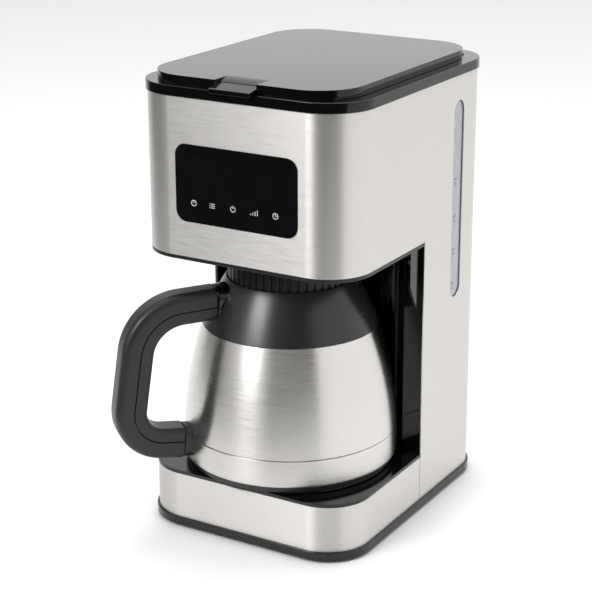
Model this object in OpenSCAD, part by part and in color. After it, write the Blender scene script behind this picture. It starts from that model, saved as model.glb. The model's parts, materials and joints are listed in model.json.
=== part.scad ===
// Drip coffee maker with an insulated steel jug.
// +Z is up, the front faces -Y, and the origin is on the table at the middle of the body.

/* [Body] */
// Width of the steel body
body_w = 176; // [174:1:182]
// Depth of the steel body
body_d = 224; // [224:1:230]
// Height of the closed machine above the table
body_h = 342; // [342:1:350]
// Plan radius of the body's upright corners
corner_r = 33.5; // [28:0.5:38]
// Thickness of the steel sheet
sheet_t = 1; // [0.8:0.1:1.2]
// Where the column begins, behind the middle of the body
split_y = 4; // [2:1:8]
// Thickness of the moulded plastic walls
wall = 2; // [1.6:0.1:2.4]

/* [Base] */
// Height of the rubber feet below the bottom tray
foot_h = 2; // [1.5:0.5:3]
// Radius of a rubber foot
foot_r = 9; // [7:0.5:11]
// Height of the bottom tray's edge
tray_h = 6; // [5:0.5:7]
// How far the bottom tray stands out past the steel
tray_out = 1.8; // [1:0.2:2.4]
// Height of the steel base band's top edge above the table
base_top = 43; // [42:0.5:44]
// Thickness of the jug platform
platform_t = 2.5; // [2:0.5:3]

/* [Head] */
// Height of the head's lower steel edge above the table
head_z = 213; // [212:0.5:214]
// Thickness of the head's floor
floor_t = 2.8; // [2.4:0.2:3]
// Height of the glossy top rim
rim_h = 7.5; // [6:0.5:8]
// How far the top rim stands out past the steel
rim_out = 1.3; // [0.8:0.1:1.8]
// Radius of the round pocket in the column
pocket_r = 84.5; // [84:0.1:84.8]

/* [Lid] */
// Width of the flip-up lid
lid_w = 160; // [156:1:164]
// Height of the lid above the rim
lid_t = 6.7; // [6:0.1:7]
// Distance from the steel's front face back to the lid's front edge
lid_front = 1.4; // [1:0.2:3]
// Distance from the steel's rear face forward to the lid's rear edge
lid_rear = 10.2; // [10:0.2:12]
// Width of the finger tab on the lid's front edge
tab_w = 33; // [28:1:36]
// How far the finger tab reaches in front of the steel
tab_out = 7; // [5:0.5:8]
// Radius of the two hinge pins
pin_r = 1.6; // [1.4:0.1:1.8]

/* [Display panel] */
// Width of the panel
panel_w = 99; // [90:1:104]
// Height of the panel
panel_h = 56; // [50:1:60]
// Height of the panel's middle above the table
panel_z = 267; // [262:1:270]
// Radius of the panel's corners
panel_r = 8.5; // [6:0.5:12]
// Number of touch keys
key_count = 5; // [3:1:6]

/* [Water level window] */
// Middle of the window behind the middle of the body
window_y = 56.5; // [56:0.5:62]
// Width of the window
window_w = 16.5; // [12:0.5:18]
// Height of the window's lower end above the table
window_low = 156.5; // [154:0.5:170]
// Height of the window's upper end above the table
window_high = 308.5; // [290:0.5:310]

/* [Jug] */
// Distance of the jug's axis in front of the middle of the body
jug_front = 39.6; // [39:0.1:40]
// Widest radius of the jug
jug_r = 80; // [78:0.2:80.4]
// Radius of the bulge of the jug's side
bulge_r = 300; // [280:5:340]
// Height of the widest place above the table
bulge_z = 60; // [56:1:64]
// Height of the lower edge of the jug's steel above the table
jug_low = 51; // [50:0.5:52]
// Height of the seam between the jug's lower cup and its body
seam_z = 72; // [70:0.5:76]
// Height of the lower edge of the black collar
collar_z = 152; // [150:0.5:154]
// Radius of the ribbed lid
cap_r = 46.2; // [45:0.2:46.4]
// Number of ribs round the lid
rib_count = 48; // [24:4:60]

/* [Handle] */
// Direction of the handle, turned from +X towards +Y
handle_turn = 230; // [225:1:240]
// Thickness of the handle, from its outer to its inner side
grip_t = 24; // [22:0.5:26]
// Width of the handle, side to side
grip_w = 22; // [20:0.5:24]
// Bend radius at the handle's upper corner
bend_top = 36; // [28:1:36]
// Bend radius at the handle's lower corner
bend_low = 25; // [22:1:28]

/* [Brewing] */
// Outer radius of the brew housing
brew_r = 58; // [57:0.5:59]
// Radius of the filter basket at its mouth
basket_r = 54.5; // [53:0.5:54.5]
// Radius of the filter basket at its floor
basket_low_r = 46; // [40:1:48]
// How far the basket floor valve drops when it shuts
valve_drop = 4; // [3:0.5:4]

/* [Water] */
// Distance of the hoses from the middle of the body
hose_x = 52; // [52:0.5:54]
// Outer radius of the hoses
hose_r = 7; // [6.6:0.1:7]
// Inner radius of the hoses
hose_bore = 5.05; // [5.02:0.01:5.1]
// Height of the tank's floor above the table
tank_low = 150; // [148:1:151]
// Radius of the check valve's ball
ball_r = 4; // [3.6:0.1:4.2]
// Lift of the check valve's ball
ball_lift = 1.5; // [1:0.1:1.6]

/* [Cord outlet] */
// Radius of the bore that the mains cord passes through
cord_bore = 3.7; // [3:0.1:4]
// Distance of the outlet from the middle of the rear cover
gland_x = 40; // [30:1:42]
// Height of the outlet above the table
gland_z = 25; // [22:1:28]

/* [Hidden] */
$fn = 96;

// Clearances: between fixed walls, between moving pieces, and round a turning pin
gap = 0.2;
move_gap = 0.3;
run_gap = 0.05;
// A cutter reaches this far past the face that it cuts
over = 1;

// Heights above the table
tray_top = foot_h + tray_h;
platform_top = base_top + platform_t;
pad_top = platform_top + 0.5;
floor_low = head_z - floor_t;
lid_top = body_h;
lid_low = lid_top - lid_t;
rim_top = lid_low - move_gap;
rim_low = rim_top - rim_h;
deck_t = 2.5;
rim_ledge = 3.5;
deck_top = rim_low - rim_ledge;
deck_low = deck_top - deck_t;

// Plan offsets from the outer face of the steel
inside = -sheet_t - gap;
housing_in = inside - wall;
front_y = -body_d / 2;
rear_y = body_d / 2;
rear_half = 60;
rear_t = 3;
rear_wall = rear_y - rear_t - gap;
rear_wall_t = 2.2;
jug_y = -jug_front;

// Opening under the lid
mouth_w = 150;
mouth_front = 10;
mouth_rear = 7;
mouth_r = 21;

// Screws
screw_r = 1.7;
head_r = 3.5;
boss_r = 5;
screw_x = body_w / 2 + housing_in - boss_r + 0.7;
screw_ys = [-60, 10, 70];
rear_screw_x = 53;
rear_screw_z = 37;
foot_x = body_w / 2 - 22;
foot_y = body_d / 2 - 22;
foot_recess = 1.5;
floor_skin = 2.5;
base_screw_lift = 0.4;
base_screw_head = 2;
base_screw_l = 16;
rear_screw_head = 1.6;
rear_screw_l = 12;
gland_r = 8;
gland_flange_r = 11;
gland_flange_t = 2.5;
gland_l = 8;
nipple_r = 8;
pipe_r = 7;
nut_t = 2.4;
nut_r = 12;

// Boards
board_y = front_y + 9;
board_t = 1.6;

// Hinge at the rear of the lid
hinge_y = rear_y - 15;
hinge_z = lid_top - 5.5;
ear_x = 36;
ear_w = 8;
ear_r = pin_r + 1.3;
lug_w = 2.6;
lug_gap = 0.4;

// Lid plan, and the notch for the finger tab
lid_d = body_d - lid_front - lid_rear;
lid_y = (lid_front - lid_rear) / 2;
notch_w = tab_w + 2 * gap;
notch_y = front_y + lid_front + 5.6;
lid_skin = 2.2;

// Brewing column, from the deck down
flange_t = 2;
flange_r = basket_r + 7.5;
basket_floor = 222;
basket_wall = 1.8;
spout_r = 13;
stem_r = 3.4;
plunger_r = 9;
plunger_low = 209.8;
plunger_t = 2;
valve_seal_z = basket_floor + valve_drop + move_gap;

// Water path
riser_y = 38.5;
inlet_y = 60;
heater_z = 26;
element_z = 14.5;
heater_y = -38;
heater_end = 14;
spigot_r = 5;
spigot_bore = 3.6;
spigot_l = 8;
elbow_r = 18.5;
tank_front = 47.2;
tank_wall = 2;
tank_gap = 4;
nipple_l = 6;
valve_top = tank_low - nipple_l - gap;
seat_r = 3;
seat_drop = sqrt(ball_r * ball_r - seat_r * seat_r);
seat_z = 126;
ball_z = seat_z + seat_drop + run_gap;
chamber_top = ball_z + ball_lift + seat_drop + run_gap;
valve_low = 116;

// Jug: its parts follow one bulged side
steel_t = 1;
foot_top = jug_low - 0.1;
jug_bottom = pad_top + gap;
liner_gap = 7;
neck_r = 34;
collar_top = collar_z + 35.5;
cap_low = collar_z + 28.5;
cap_edge = 204;
cap_top = 209.2;
cap_ring_r = 14;

// Handle centreline in the upright plane through the jug's axis: [distance out, height]
grip_start = [44, 173];
grip_upper = [114, 169.5];
grip_lower = [128, 72];
grip_end = [86, 68];
bracket_end = 59;
inlay_at = -1.5;
groove = 0.6;
grip_round = 9.5;
bend_steps = 16;
corner_steps = 6;
foot_l = 14;

// ---------- shared shapes ----------

module rounded_rect(w, d, r) {
    square([w - 2 * r, d], center = true);
    square([w, d - 2 * r], center = true);
    for (x = [-1, 1], y = [-1, 1]) translate([x * (w / 2 - r), y * (d / 2 - r)]) circle(r);
}

// Plan of the body, grown by d
module plan(d = 0) {
    rounded_rect(body_w + 2 * d, body_d + 2 * d, corner_r + d);
}

module slab(low, high, d = 0) {
    translate([0, 0, low]) linear_extrude(high - low) plan(d);
}

module shell(low, high, outer, inner) {
    translate([0, 0, low]) linear_extrude(high - low) difference() {
        plan(outer);
        plan(inner);
    }
}

// A block from one corner to the other
module block(a, b) {
    translate(a) cube(b - a);
}

// Everything in front of y, between two heights
module ahead(y, low, high) {
    block([-body_w, -body_d, low], [body_w, y, high]);
}

module tube(r_out, r_in, h) {
    linear_extrude(h) difference() {
        circle(r_out);
        circle(r_in);
    }
}

// One foot at each corner, and one in the middle of the tray
module at_feet() {
    children();
    for (x = [-1, 1], y = [-1, 1]) translate([x * foot_x, y * foot_y, 0]) children();
}

module at_screws() {
    for (x = [-1, 1], y = screw_ys) translate([x * screw_x, y, 0]) children();
}

module at_rear_screws() {
    for (x = [-1, 1]) translate([x * rear_screw_x, 0, rear_screw_z]) rotate([-90, 0, 0]) children();
}

// Along the cord outlet's axis, from the middle of the body to the rear
module at_gland() {
    translate([-gland_x, 0, gland_z]) rotate([-90, 0, 0]) children();
}

module at_jug() {
    translate([0, jug_y, 0]) children();
}

// ---------- base ----------

module bottom_cover() color("#1b1b1c") {
    pocket_inset = 5;
    vent_l = 50;
    vent_w = 3;
    vent_y = 60;
    vent_step = 10;
    difference() {
        union() {
            difference() {
                slab(foot_h, tray_top, tray_out);
                slab(foot_h + floor_skin, tray_top + over, -pocket_inset);
            }
            at_screws() translate([0, 0, foot_h + over]) cylinder(r = boss_r, h = tray_h - over);
        }
        at_feet() cylinder(r = foot_r + gap, h = foot_h + foot_recess);
        at_screws() cylinder(r = head_r + gap, h = foot_h + floor_skin);
        at_screws() cylinder(r = screw_r + gap, h = tray_top + over);
        for (i = [-3:3]) translate([-vent_l / 2, i * vent_step + vent_y, 0]) cube([vent_l, vent_w, tray_top]);
    }
}

module rubber_feet() color("#262627") {
    at_feet() cylinder(r = foot_r, h = foot_h + foot_recess);
}

module screw(head, shank) {
    cylinder(r = head_r, h = head);
    cylinder(r = screw_r, h = head + shank);
}

module base_screws() color("#8e9092") {
    at_screws() translate([0, 0, foot_h + base_screw_lift]) screw(base_screw_head, base_screw_l);
}

module base_band() color("#c4c3bf") {
    intersection() {
        shell(tray_top, base_top, 0, -sheet_t);
        ahead(split_y - gap, 0, head_z);
    }
}

module base_housing() color("#232425") {
    boss_l = 16;
    rear_boss_l = 12;
    difference() {
        union() {
            intersection() {
                shell(tray_top, base_top, inside, housing_in);
                ahead(rear_wall, 0, head_z);
            }
            block([-rear_half, rear_wall - rear_wall_t, tray_top], [rear_half, rear_wall, base_top]);
            at_screws() translate([0, 0, tray_top]) cylinder(r = boss_r, h = boss_l);
            at_rear_screws() translate([0, 0, rear_wall - rear_boss_l])
                cylinder(r = boss_r, h = rear_boss_l - over);
        }
        at_screws() cylinder(r = screw_r + run_gap, h = tray_top + boss_l + over);
        at_rear_screws() translate([0, 0, rear_wall - rear_boss_l - over])
            cylinder(r = screw_r + run_gap, h = rear_boss_l + 2 * over);
        at_gland() cylinder(r = gland_r + gap, h = body_d);
    }
}

module carafe_platform() color("#161617") {
    pad_r = 76;
    pad_in = 58;
    lip = 5;
    translate([0, 0, base_top]) linear_extrude(platform_t) {
        intersection() {
            plan(0.3);
            translate([-body_w, -body_d]) square([2 * body_w, body_d + split_y - gap]);
        }
        intersection() {
            translate([0, jug_y]) circle(pocket_r - gap);
            translate([-body_w, 0]) square([2 * body_w, body_d]);
        }
    }
    at_jug() translate([0, 0, platform_top - over]) tube(pad_r, pad_in, over + pad_top - platform_top);
    intersection() {
        shell(base_top - lip, base_top + over, housing_in - gap, housing_in - gap - wall);
        ahead(0, 0, head_z);
    }
}

// ---------- column and head ----------

module column_front() color("#141415") {
    rib_w = 2;
    gusset_x = body_w / 2 - 4.2;
    gusset_t = 2;
    gusset_front = -12;
    gusset_knees = [150, 183];
    gusset_drop = 32;
    translate([0, 0, base_top]) linear_extrude(floor_low - base_top) intersection() {
        plan(inside);
        difference() {
            union() {
                translate([0, jug_y]) circle(pocket_r + wall);
                translate([-body_w, split_y]) square([2 * body_w, wall]);
            }
            translate([0, jug_y]) circle(pocket_r);
            translate([-body_w, -body_d]) square([2 * body_w, body_d + split_y]);
        }
    }
    at_jug() for (a = [50:16:130]) rotate([0, 0, a])
        block([pocket_r - 1, -rib_w / 2, pad_top + over], [pocket_r + over, rib_w / 2, floor_low]);
    for (i = [0, 1]) translate([(2 * i - 1) * gusset_x - gusset_t / 2, 0, 0]) rotate([90, 0, 90])
        linear_extrude(gusset_t) polygon([[split_y + over, gusset_knees[i] - gusset_drop],
            [gusset_front, gusset_knees[i]], [gusset_front, floor_low], [split_y + over, floor_low]]);
}

module head_floor() color("#1a1a1b") {
    outlet_r = 16;
    lip = 6;
    difference() {
        union() {
            translate([0, 0, floor_low]) linear_extrude(floor_t) {
                intersection() {
                    plan(0);
                    translate([-body_w, -body_d]) square([2 * body_w, body_d + split_y - gap]);
                }
                intersection() {
                    translate([0, jug_y]) circle(pocket_r + wall);
                    translate([-body_w, 0]) square([2 * body_w, body_d]);
                }
            }
            intersection() {
                shell(head_z - over, head_z + lip, inside, housing_in);
                ahead(0, 0, body_h);
            }
        }
        at_jug() cylinder(r = outlet_r, h = body_h);
    }
}

module window_slot(grow, x0, x1) {
    mid = (window_low + window_high) / 2;
    tall = window_high - window_low;
    translate([x0, window_y, mid]) rotate([90, 0, 90]) linear_extrude(x1 - x0) {
        square([window_w + 2 * grow, tall - window_w], center = true);
        for (s = [-1, 1]) translate([0, s * (tall - window_w) / 2]) circle(window_w / 2 + grow);
    }
}

module panel_plate(grow, y0, y1) {
    translate([0, y1, panel_z]) rotate([90, 0, 0]) linear_extrude(y1 - y0)
        rounded_rect(panel_w + 2 * grow, panel_h + 2 * grow, panel_r + grow);
}

module steel_wrap() color("#cbcac6") {
    difference() {
        shell(tray_top, rim_low, 0, -sheet_t);
        ahead(split_y, 0, head_z);
        block([-rear_half, rear_y - 10, 0], [rear_half, rear_y + over, body_h]);
        window_slot(0, body_w / 2 - 10, body_w / 2 + over);
        panel_plate(-2, front_y - over, front_y + 10);
    }
}

module rear_cover() color("#222324") {
    vent_half = 36;
    vent_h = 3;
    vent_low = 62;
    vent_step = 8;
    difference() {
        block([-rear_half + gap, rear_y - rear_t, tray_top], [rear_half - gap, rear_y, rim_low]);
        for (i = [0:8]) translate([0, 0, vent_low + vent_step * i])
            block([-vent_half, rear_wall, 0], [vent_half, rear_y + over, vent_h]);
        at_rear_screws() cylinder(r = screw_r + gap, h = body_d);
        at_rear_screws() translate([0, 0, rear_y - rear_screw_head]) cylinder(r = head_r + gap, h = rear_t);
        at_gland() cylinder(r = gland_r + gap, h = body_d);
    }
}

module rear_screws() color("#8e9092") {
    at_rear_screws() translate([0, 0, rear_y]) mirror([0, 0, 1]) screw(rear_screw_head, rear_screw_l);
}

module cord_gland() color("#1d1d1e") {
    at_gland() difference() {
        union() {
            translate([0, 0, rear_y - gland_l]) cylinder(r = gland_r, h = gland_l);
            translate([0, 0, rear_y]) cylinder(r = gland_flange_r, h = gland_flange_t);
        }
        cylinder(r = cord_bore, h = body_d);
    }
}

module gland_nut() color("#2a2a2b") {
    at_gland() difference() {
        translate([0, 0, rear_wall - rear_wall_t - nut_t]) cylinder(r = nut_r, h = nut_t, $fn = 6);
        cylinder(r = gland_r + run_gap, h = body_d);
    }
}

// Takes away what would reach into the rear cover
module clear_of_rear() {
    difference() {
        children();
        block([-rear_half, rear_wall, 0], [rear_half, rear_y, rim_low]);
    }
}

module mouth() {
    depth = body_d - mouth_front - mouth_rear;
    translate([0, (mouth_front - mouth_rear) / 2]) rounded_rect(mouth_w, depth, mouth_r);
}

module top_rim() color("#0c0c0d") {
    difference() {
        union() {
            slab(rim_low, rim_top, rim_out);
            clear_of_rear() slab(deck_top, rim_low + over, inside);
        }
        translate([0, 0, deck_top - over]) linear_extrude(body_h) mouth();
    }
}

module top_deck() color("#1c1c1d") {
    tank_mouth = [130, 40];
    tank_mouth_y = 66;
    tank_mouth_r = 12;
    basket_gap = 1.6;
    difference() {
        union() {
            clear_of_rear() slab(deck_low, deck_top, inside);
            for (x = [-1, 1]) translate([x * ear_x - ear_w / 2, 0, 0]) {
                block([0, hinge_y - ear_r, deck_top - over], [ear_w, hinge_y, hinge_z]);
                translate([0, hinge_y, hinge_z]) rotate([0, 90, 0]) cylinder(r = ear_r, h = ear_w);
            }
        }
        at_jug() cylinder(r = basket_r + basket_gap, h = body_h);
        translate([0, tank_mouth_y, 0]) linear_extrude(body_h)
            rounded_rect(tank_mouth[0], tank_mouth[1], tank_mouth_r);
        translate([-hose_x, riser_y, 0]) cylinder(r = spigot_r + gap, h = deck_top + over);
        translate([-body_w, hinge_y, hinge_z]) rotate([0, 90, 0])
            cylinder(r = pin_r + run_gap, h = 2 * body_w);
    }
}

// ---------- display ----------

module control_panel() color("#0b0b0c") {
    panel_plate(0, front_y - 0.6, front_y);
    panel_plate(-2.2, front_y - 0.2, front_y + sheet_t);
}

module display_module() color("#3a3c3e") {
    module_w = 60;
    low = panel_z + 2;
    high = panel_z + 24;
    block([-module_w / 2, front_y + sheet_t + gap, low], [module_w / 2, board_y - gap, high]);
}

module control_board() color("#1f5a35") {
    board_half = 45;
    chip_x = 33;
    chip = [5, 3, 16];
    block([-board_half, board_y, panel_z - 25], [board_half, board_y + board_t, panel_z + 26]);
    for (x = [-chip_x - chip[0], chip_x]) translate([x, board_y - chip[1], panel_z + 4])
        cube([chip[0], chip[1] + gap, chip[2]]);
}

module touch_springs() color("#b9a26a") {
    spring_r = 3.5;
    wire_t = 0.8;
    key_step = 16.7;
    key_z = panel_z - 15;
    for (i = [0:key_count - 1]) translate([(i - (key_count - 1) / 2) * key_step, board_y, key_z])
        rotate([90, 0, 0]) tube(spring_r, spring_r - wire_t, board_y - front_y - sheet_t - gap);
}

module power_board() color("#2b6b3d") {
    board_low = 14;
    top = board_low + board_t;
    relay = [20, 16, 15];
    transformer = [20, 26, 20];
    capacitor = [6, 20];
    terminals = [22, 9, 9];
    block([-30, 50, board_low], [30, 98, top]);
    translate([-26, 56, top - gap]) cube(relay);
    translate([4, 54, top - gap]) cube(transformer);
    translate([-16, 86, top - gap]) cylinder(r = capacitor[0], h = capacitor[1]);
    translate([4, 86, top - gap]) cube(terminals);
}

// ---------- brewing ----------

module brew_housing() color("#26272a") {
    drain_r = 15;
    at_jug() difference() {
        translate([0, 0, head_z + over]) cylinder(r = brew_r, h = deck_low - head_z - over);
        translate([0, 0, head_z + over + wall]) cylinder(r = brew_r - wall, h = body_h);
        cylinder(r = drain_r, h = body_h);
    }
}

// Wall of a tapered cup: outer radii at the floor and at the mouth
module cup(low_r, high_r, low, high, t) {
    rotate_extrude() polygon([[0, low], [low_r, low], [high_r, high], [high_r - t, high],
        [low_r - t, low + t], [0, low + t]]);
}

module filter_basket() color("#2e2f31") {
    flange_z = deck_top + gap;
    stem_gap = 1.2;
    at_jug() difference() {
        union() {
            cup(basket_low_r, basket_r, basket_floor - basket_wall, flange_z + flange_t, basket_wall);
            translate([0, 0, flange_z]) tube(flange_r, basket_r - basket_wall, flange_t);
            translate([0, 0, head_z + 0.6]) cylinder(r = spout_r, h = basket_floor - head_z - over);
        }
        translate([0, 0, head_z]) cylinder(r = spout_r - wall, h = basket_floor - basket_wall - head_z);
        cylinder(r = stem_r + stem_gap, h = basket_floor + over);
    }
}

module basket_filter() color("#8c7a4c") {
    filter_low_r = 38;
    filter_high_r = 50;
    filter_low = valve_seal_z + 4;
    filter_t = 0.8;
    at_jug() cup(filter_low_r, filter_high_r, filter_low, deck_top - 3, filter_t);
}

module drip_valve() color("#4a4b4d") {
    seal_r = 7;
    seal_t = 1.8;
    at_jug() {
        translate([0, 0, plunger_low]) cylinder(r = plunger_r, h = plunger_t);
        translate([0, 0, plunger_low]) cylinder(r = stem_r, h = valve_seal_z - plunger_low + over);
        translate([0, 0, valve_seal_z]) cylinder(r = seal_r, h = seal_t);
    }
}

// A wire ring's centreline climbs steadily round the stem
module drip_spring() color("#b5b6b8") {
    wire_r = 0.45;
    coil_r = 5.6;
    turns = 4;
    steps = 20;
    sides = 6;
    low = plunger_low + plunger_t + wire_r;
    rise = basket_floor - basket_wall - wire_r - low;
    count = turns * steps;
    points = [for (i = [0:count], j = [0:sides - 1]) let (
        a = 360 * i / steps,
        b = 360 * j / sides,
        r = coil_r + wire_r * cos(b)
    ) [r * cos(a), r * sin(a), low + rise * i / count + wire_r * sin(b)]];
    walls = [for (i = [0:count - 1], j = [0:sides - 1]) let (k = (j + 1) % sides)
        [i * sides + j, i * sides + k, (i + 1) * sides + k, (i + 1) * sides + j]];
    ends = [[for (j = [0:sides - 1]) sides - 1 - j], [for (j = [0:sides - 1]) count * sides + j]];
    at_jug() polyhedron(points, concat(walls, ends));
}

// ---------- water ----------

module tank_plan(d) {
    intersection() {
        plan(-tank_gap - d);
        translate([-body_w, tank_front + d]) square([2 * body_w, body_d]);
    }
}

module water_tank() color("#5d6166") {
    difference() {
        union() {
            translate([0, 0, tank_low]) linear_extrude(deck_low - tank_low) tank_plan(0);
            translate([hose_x, inlet_y, tank_low - nipple_l]) cylinder(r = nipple_r, h = nipple_l + over);
        }
        translate([0, 0, tank_low + tank_wall]) linear_extrude(body_h) tank_plan(tank_wall);
        translate([hose_x, inlet_y, tank_low - nipple_l - over]) cylinder(r = spigot_r, h = body_h);
    }
}

module tank_seal() color("#9a9ea3") {
    seal_r = nipple_r + 2.5;
    translate([hose_x, inlet_y, valve_top + gap]) tube(seal_r, nipple_r + run_gap, nipple_l - gap);
}

module level_window() color("#a9a6b3") {
    window_x = body_w / 2 - 1.2;
    window_t = 1.8;
    window_slot(-gap, window_x - window_t, window_x);
}

module check_valve() color("#d8d9da") {
    body_r = 9;
    chamber_r = ball_r + 1.2;
    translate([hose_x, inlet_y, 0]) difference() {
        union() {
            translate([0, 0, valve_low]) cylinder(r = body_r, h = valve_top - valve_low);
            translate([0, 0, valve_low - spigot_l]) cylinder(r = spigot_r, h = spigot_l + over);
        }
        translate([0, 0, valve_low - spigot_l - over]) cylinder(r = seat_r, h = body_h);
        translate([0, 0, seat_z]) cylinder(r = chamber_r, h = chamber_top - seat_z);
    }
}

module check_ball() color("#e3a53a") {
    translate([hose_x, inlet_y, ball_z]) sphere(r = ball_r);
}

module hose_ring() {
    difference() {
        circle(hose_r);
        circle(hose_bore);
    }
}

// A hose that runs back from the heater, turns up and climbs to a height
module hose(back, top) {
    turn_y = back - elbow_r;
    start_y = heater_end + over;
    translate([0, start_y, heater_z]) rotate([-90, 0, 0]) linear_extrude(turn_y - start_y) hose_ring();
    translate([0, turn_y, heater_z + elbow_r]) rotate([0, 90, 0]) rotate_extrude(angle = 90)
        translate([elbow_r, 0]) hose_ring();
    translate([0, back, heater_z + elbow_r]) linear_extrude(top - heater_z - elbow_r) hose_ring();
}

module inlet_hose() color("#d9d4c6") {
    translate([hose_x, 0, 0]) hose(inlet_y, valve_low - over);
}

module riser_hose() color("#d9d4c6") {
    translate([-hose_x, 0, 0]) hose(riser_y, deck_low - over);
}

module hose_clamps() color("#aeb0b2") {
    band_w = 4;
    band_r = hose_r + 0.6;
    band_in = hose_r + run_gap;
    set_back = 7;
    for (x = [-hose_x, hose_x]) translate([x, heater_end + 1.5, heater_z]) rotate([-90, 0, 0])
        tube(band_r, band_in, band_w);
    translate([hose_x, inlet_y, valve_low - set_back]) tube(band_r, band_in, band_w);
    translate([-hose_x, riser_y, deck_low - set_back]) tube(band_r, band_in, band_w);
}

module riser_outlet() color("#d8d9da") {
    outlet_top = deck_top + 2.5;
    outlet_low = deck_low - 12;
    collar_r = spigot_r + 3;
    collar_t = 1.5;
    translate([-hose_x, riser_y, 0]) difference() {
        union() {
            translate([0, 0, outlet_low]) cylinder(r = spigot_r, h = outlet_top - outlet_low);
            translate([0, 0, deck_top]) cylinder(r = collar_r, h = collar_t);
        }
        cylinder(r = spigot_bore, h = body_h);
    }
}

// ---------- heater ----------

// One section swept round the U-shaped path, with its open end to the rear
module heater_path() {
    translate([0, heater_y, 0]) rotate([0, 0, 180]) rotate_extrude(angle = 180)
        translate([hose_x, 0]) children();
    for (x = [-1, 1]) translate([x * hose_x, heater_y, 0]) rotate([90, 0, 180])
        linear_extrude(heater_end - heater_y) children();
}

module heater_body() color("#b7b9bb") {
    web = 8;
    heater_path() difference() {
        union() {
            translate([0, heater_z]) circle(pipe_r);
            translate([0, element_z]) circle(pipe_r - 1);
            translate([-web / 2, element_z]) square([web, heater_z - element_z]);
        }
        translate([0, heater_z]) circle(spigot_bore);
        translate([0, element_z]) circle(spigot_bore + run_gap);
    }
    for (x = [-1, 1]) translate([x * hose_x, heater_end, heater_z]) rotate([-90, 0, 0])
        tube(spigot_r, spigot_bore, spigot_l);
}

module heater_element() color("#7d7a76") {
    pin_l = 12;
    pin_t = 4;
    heater_path() translate([0, element_z]) circle(spigot_bore);
    for (x = [-1, 1]) translate([x * hose_x, heater_end - over, element_z]) rotate([-90, 0, 0])
        cylinder(d = pin_t, h = pin_l);
}

module heater_bracket() color("#9c9ea0") {
    strap_w = 12;
    strap_t = 1.5;
    strap_y = -20;
    strap_z = heater_z + 8;
    leg_x = hose_x + 9;
    foot_z = foot_h + 2.6;
    block([-leg_x - strap_t, strap_y, strap_z], [leg_x + strap_t, strap_y + strap_w, strap_z + strap_t]);
    for (x = [-1, 1]) {
        translate([x * (leg_x + strap_t / 2) - strap_t / 2, strap_y, foot_z])
            cube([strap_t, strap_w, strap_z + strap_t - foot_z]);
        difference() {
            translate([x * (leg_x + 5) - 6, strap_y, foot_z]) cube([12, strap_w, strap_t]);
            translate([x * (leg_x + 6), strap_y + strap_w / 2, 0]) cylinder(r = screw_r, h = 20);
            block([-leg_x, strap_y - over, 0], [leg_x, strap_y + strap_w + over, 20]);
        }
    }
}

module heater_screws() color("#8e9092") {
    for (x = [-1, 1]) translate([x * (hose_x + 15), -14, foot_h + 4.3]) {
        cylinder(r = head_r, h = 2);
        translate([0, 0, -1.4]) cylinder(r = screw_r - run_gap, h = 2);
    }
}

module thermostat() color("#c8c2b0") {
    cap = [8, 4];
    button = [5, 6];
    blade = [2, 3, 5.5];
    translate([0, heater_y - hose_x, heater_z + pipe_r + run_gap]) {
        cylinder(r = cap[0], h = cap[1]);
        cylinder(r = button[0], h = button[1]);
        for (x = [-1, 1]) translate([x * button[0] - blade[0] / 2, -blade[1] / 2, cap[1] - over])
            cube(blade);
    }
}

module thermal_fuses() color("#d7d3c8") {
    fuse_r = 2.5;
    fuse_l = 16;
    fuse_y = -4;
    fuse_z = heater_z + pipe_r + fuse_r + run_gap;
    for (x = [-1, 1]) translate([x * hose_x, fuse_y, fuse_z]) rotate([-90, 0, 0])
        cylinder(r = fuse_r, h = fuse_l);
}

// ---------- lid ----------

module lid_plan(d = 0) {
    translate([0, lid_y]) rounded_rect(lid_w + 2 * d, lid_d + 2 * d, corner_r + d);
}

module lid() color("#0d0d0e") {
    ear_clear = 2.2;
    dip_l = 13;
    dip_r = 41.3;
    heel = 7.4;
    difference() {
        union() {
            difference() {
                translate([0, 0, lid_low]) linear_extrude(lid_t) lid_plan();
                translate([0, 0, lid_low - over]) linear_extrude(lid_t - lid_skin + over) lid_plan(-lid_skin);
            }
            block([-notch_w / 2 - lid_skin, front_y + lid_front + over, lid_low],
                [notch_w / 2 + lid_skin, notch_y + heel, lid_top - over]);
            for (x = [-1, 1], s = [-1, 1])
                translate([x * ear_x + s * (ear_w + lug_w + 2 * lug_gap) / 2 - lug_w / 2, 0, 0])
                    block([0, hinge_y - ear_r, hinge_z - ear_r], [lug_w, hinge_y + ear_r - gap, lid_top - over]);
        }
        translate([-body_w, hinge_y, hinge_z]) rotate([0, 90, 0])
            cylinder(r = pin_r + 0.02, h = 2 * body_w);
        block([-notch_w / 2, front_y - over, 0], [notch_w / 2, notch_y, body_h + over]);
        difference() {
            block([-notch_w / 2, notch_y - over, lid_top - dip_l / 2], [notch_w / 2, notch_y + dip_l, lid_top + over]);
            translate([-notch_w, notch_y + dip_l, lid_top - dip_r]) rotate([0, 90, 0])
                cylinder(r = dip_r, h = 2 * notch_w);
        }
        for (x = [-1, 1]) translate([x * ear_x, 0, 0])
            block([-ear_w / 2 - lug_gap, hinge_y, 0], [ear_w / 2 + lug_gap, rear_y, hinge_z + ear_clear]);
    }
}

module lid_tab() color("#101011") {
    tip = front_y - tab_out;
    root = notch_y - gap;
    root_top = lid_top - 2.4;
    tip_top = lid_top - 4.7;
    tab_t = 3.4;
    lean = 0.8;
    translate([-tab_w / 2, 0, 0]) rotate([90, 0, 90]) linear_extrude(tab_w)
        polygon([[root, root_top], [tip, tip_top], [tip + lean, tip_top - tab_t],
            [front_y - rim_out - 2 * gap, lid_low + gap], [root, lid_low + gap]]);
}

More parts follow.
